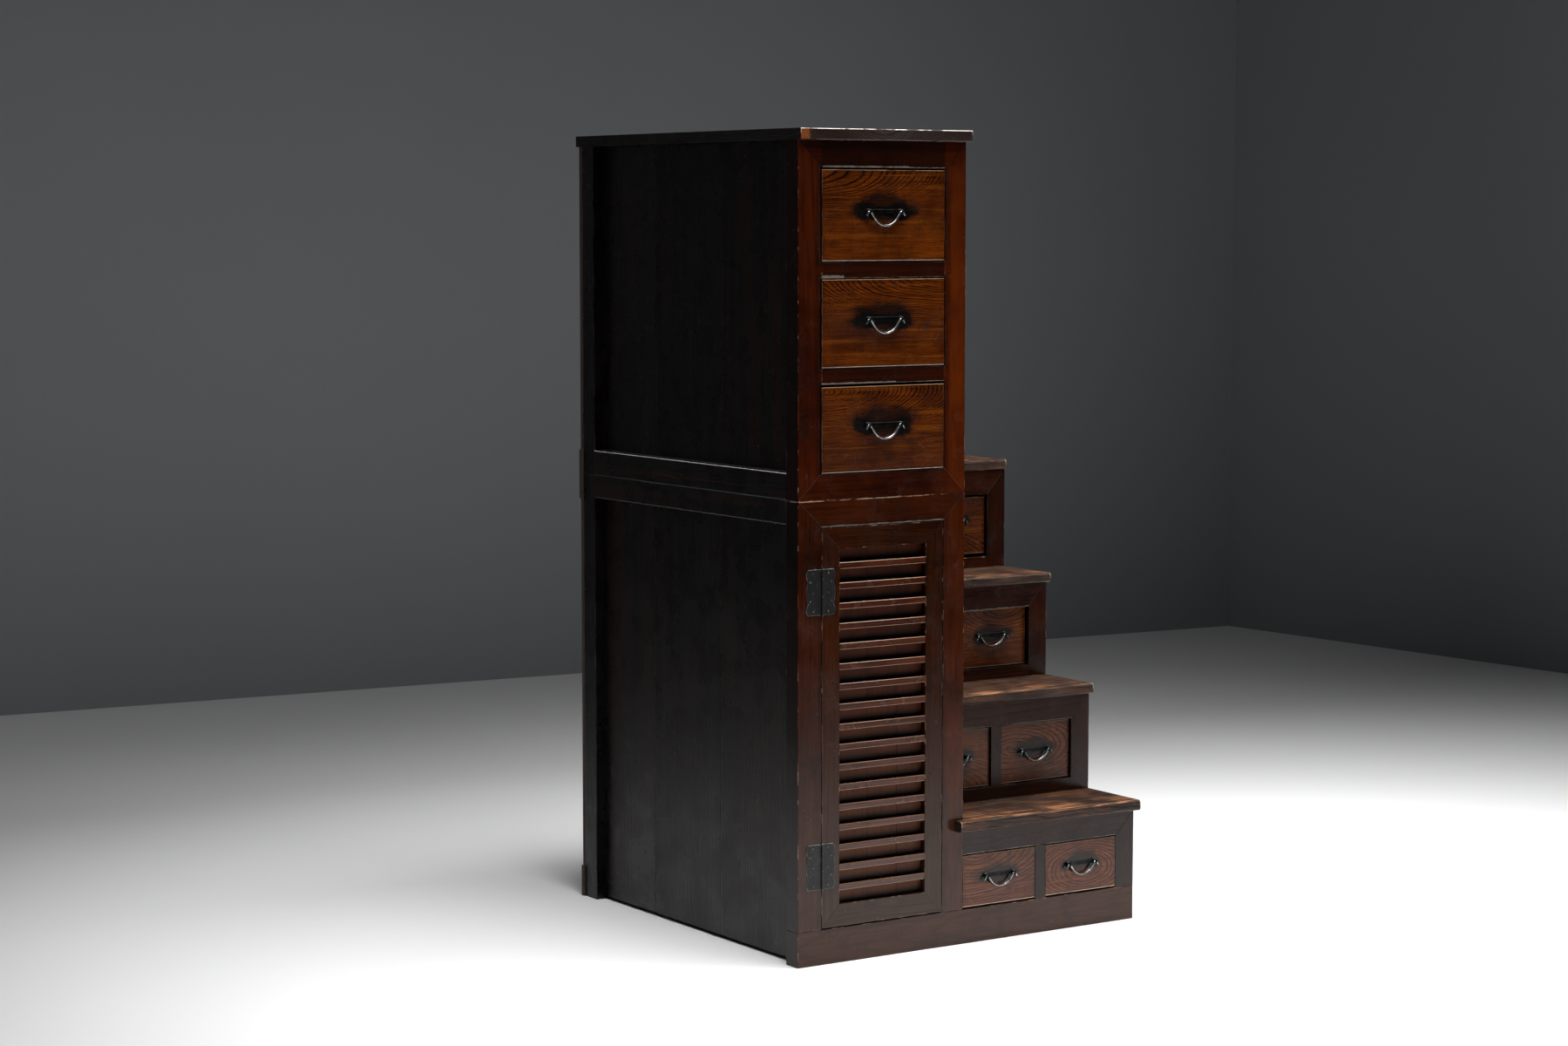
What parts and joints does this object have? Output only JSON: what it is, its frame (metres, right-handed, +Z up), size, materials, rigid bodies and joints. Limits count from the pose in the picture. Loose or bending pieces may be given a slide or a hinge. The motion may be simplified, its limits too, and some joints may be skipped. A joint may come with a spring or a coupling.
{
  "type": "step chest tansu",
  "caption": "Wooden chest in the form of a stair with a tall drawer chest beside it, sliding drawers with iron bails and a hinged barred door.",
  "frame": {"origin": "centre of the bounding box, on the floor", "axes": "+Z up, the drawers and the door face -Y, the tall chest is at -X and the stair at +X"},
  "size_m": [0.916, 0.9424, 1.76],
  "materials": {
    "frame_wood": "worn dark red-brown lacquer",
    "side_wood": "dark oiled wood, rubbed",
    "top_wood": "dark worn wood",
    "tread_wood": "rough worn wood",
    "door_wood": "worn dark red-brown lacquer",
    "back_wood": "raw aged wood",
    "inner_wood": "raw pale wood",
    "drawer_wood": "orange-brown figured wood, wiped lacquer",
    "iron": "black forged iron, rubbed bright"
  },
  "bodies": {
    "case": {"back_boards": "back_wood", "base_sills": "frame_wood", "cupboard_front_frame": "frame_wood", "cupboard_shelves": "inner_wood", "drawer_runners": "inner_wood", "floor_boards": "inner_wood", "hinge_post_leaves": "iron", "lower_left_planks": "side_wood", "lower_side_frames": "side_wood", "partition_boards": "side_wood", "rear_rails": "back_wood", "step_frame_1": "frame_wood", "step_frame_2": "frame_wood", "step_frame_3": "frame_wood", "step_frame_4": "frame_wood", "step_side_planks": "side_wood", "top_board": "top_wood", "tread_1": "tread_wood", "tread_2": "tread_wood", "tread_3": "tread_wood", "tread_4": "tread_wood", "upper_front_frame": "frame_wood", "upper_side_walls": "side_wood"},
    "drawer_top": {"drawer_top": "drawer_wood", "handle_top": "iron"},
    "bail_top": {"bail_top": "iron"},
    "drawer_middle": {"drawer_middle": "drawer_wood", "handle_middle": "iron"},
    "bail_middle": {"bail_middle": "iron"},
    "drawer_bottom": {"drawer_bottom": "drawer_wood", "handle_bottom": "iron"},
    "bail_bottom": {"bail_bottom": "iron"},
    "drawer_step_1_left": {"drawer_step_1_left": "drawer_wood", "handle_step_1_left": "iron"},
    "bail_step_1_left": {"bail_step_1_left": "iron"},
    "drawer_step_1_right": {"drawer_step_1_right": "drawer_wood", "handle_step_1_right": "iron"},
    "bail_step_1_right": {"bail_step_1_right": "iron"},
    "drawer_step_2_left": {"drawer_step_2_left": "drawer_wood", "handle_step_2_left": "iron"},
    "bail_step_2_left": {"bail_step_2_left": "iron"},
    "drawer_step_2_right": {"drawer_step_2_right": "drawer_wood", "handle_step_2_right": "iron"},
    "bail_step_2_right": {"bail_step_2_right": "iron"},
    "drawer_step_3_left": {"drawer_step_3_left": "drawer_wood", "handle_step_3_left": "iron"},
    "bail_step_3_left": {"bail_step_3_left": "iron"},
    "drawer_step_3_right": {"drawer_step_3_right": "drawer_wood", "handle_step_3_right": "iron"},
    "bail_step_3_right": {"bail_step_3_right": "iron"},
    "drawer_step_4_left": {"drawer_step_4_left": "drawer_wood", "handle_step_4_left": "iron"},
    "bail_step_4_left": {"bail_step_4_left": "iron"},
    "drawer_step_4_right": {"drawer_step_4_right": "drawer_wood", "handle_step_4_right": "iron"},
    "bail_step_4_right": {"bail_step_4_right": "iron"},
    "door": {"door_frame": "door_wood", "door_bars": "door_wood", "door_boards": "door_wood", "hinge_door_leaves": "iron"}
  },
  "joints": [
    {"name": "slide_top", "type": "slide", "parent": "case", "child": "drawer_top", "axis": [0, -1, 0], "range_m": [0, 0.6]},
    {"name": "swing_top", "type": "hinge", "parent": "drawer_top", "child": "bail_top", "pos_m": [-0.237, -0.45375, 1.5878], "axis": [-1, 0, 0], "range_deg": [0, 160]},
    {"name": "slide_middle", "type": "slide", "parent": "case", "child": "drawer_middle", "axis": [0, -1, 0], "range_m": [0, 0.6]},
    {"name": "swing_middle", "type": "hinge", "parent": "drawer_middle", "child": "bail_middle", "pos_m": [-0.237, -0.45375, 1.3628], "axis": [-1, 0, 0], "range_deg": [0, 160]},
    {"name": "slide_bottom", "type": "slide", "parent": "case", "child": "drawer_bottom", "axis": [0, -1, 0], "range_m": [0, 0.6]},
    {"name": "swing_bottom", "type": "hinge", "parent": "drawer_bottom", "child": "bail_bottom", "pos_m": [-0.237, -0.45375, 1.1408], "axis": [-1, 0, 0], "range_deg": [0, 160]},
    {"name": "slide_step_1_left", "type": "slide", "parent": "case", "child": "drawer_step_1_left", "axis": [0, -1, 0], "range_m": [0, 0.28]},
    {"name": "swing_step_1_left", "type": "hinge", "parent": "drawer_step_1_left", "child": "bail_step_1_left", "pos_m": [0.07575, -0.45375, 0.144], "axis": [-1, 0, 0], "range_deg": [0, 160]},
    {"name": "slide_step_1_right", "type": "slide", "parent": "case", "child": "drawer_step_1_right", "axis": [0, -1, 0], "range_m": [0, 0.28]},
    {"name": "swing_step_1_right", "type": "hinge", "parent": "drawer_step_1_right", "child": "bail_step_1_right", "pos_m": [0.30325, -0.45375, 0.144], "axis": [-1, 0, 0], "range_deg": [0, 160]},
    {"name": "slide_step_2_left", "type": "slide", "parent": "case", "child": "drawer_step_2_left", "axis": [0, -1, 0], "range_m": [0, 0.28]},
    {"name": "swing_step_2_left", "type": "hinge", "parent": "drawer_step_2_left", "child": "bail_step_2_left", "pos_m": [0.07575, -0.28375, 0.3755], "axis": [-1, 0, 0], "range_deg": [0, 160]},
    {"name": "slide_step_2_right", "type": "slide", "parent": "case", "child": "drawer_step_2_right", "axis": [0, -1, 0], "range_m": [0, 0.28]},
    {"name": "swing_step_2_right", "type": "hinge", "parent": "drawer_step_2_right", "child": "bail_step_2_right", "pos_m": [0.30325, -0.28375, 0.3755], "axis": [-1, 0, 0], "range_deg": [0, 160]},
    {"name": "slide_step_3_left", "type": "slide", "parent": "case", "child": "drawer_step_3_left", "axis": [0, -1, 0], "range_m": [0, 0.28]},
    {"name": "swing_step_3_left", "type": "hinge", "parent": "drawer_step_3_left", "child": "bail_step_3_left", "pos_m": [0.07575, -0.11775, 0.619], "axis": [-1, 0, 0], "range_deg": [0, 160]},
    {"name": "slide_step_3_right", "type": "slide", "parent": "case", "child": "drawer_step_3_right", "axis": [0, -1, 0], "range_m": [0, 0.28]},
    {"name": "swing_step_3_right", "type": "hinge", "parent": "drawer_step_3_right", "child": "bail_step_3_right", "pos_m": [0.30325, -0.11775, 0.619], "axis": [-1, 0, 0], "range_deg": [0, 160]},
    {"name": "slide_step_4_left", "type": "slide", "parent": "case", "child": "drawer_step_4_left", "axis": [0, -1, 0], "range_m": [0, 0.28]},
    {"name": "swing_step_4_left", "type": "hinge", "parent": "drawer_step_4_left", "child": "bail_step_4_left", "pos_m": [0.07575, 0.04125, 0.86975], "axis": [-1, 0, 0], "range_deg": [0, 160]},
    {"name": "slide_step_4_right", "type": "slide", "parent": "case", "child": "drawer_step_4_right", "axis": [0, -1, 0], "range_m": [0, 0.28]},
    {"name": "swing_step_4_right", "type": "hinge", "parent": "drawer_step_4_right", "child": "bail_step_4_right", "pos_m": [0.30325, 0.04125, 0.86975], "axis": [-1, 0, 0], "range_deg": [0, 160]},
    {"name": "door_hinge", "type": "hinge", "parent": "case", "child": "door", "pos_m": [-0.39425, -0.44975, 0.5], "axis": [0, 0, -1], "range_deg": [0, 170]}
  ]
}
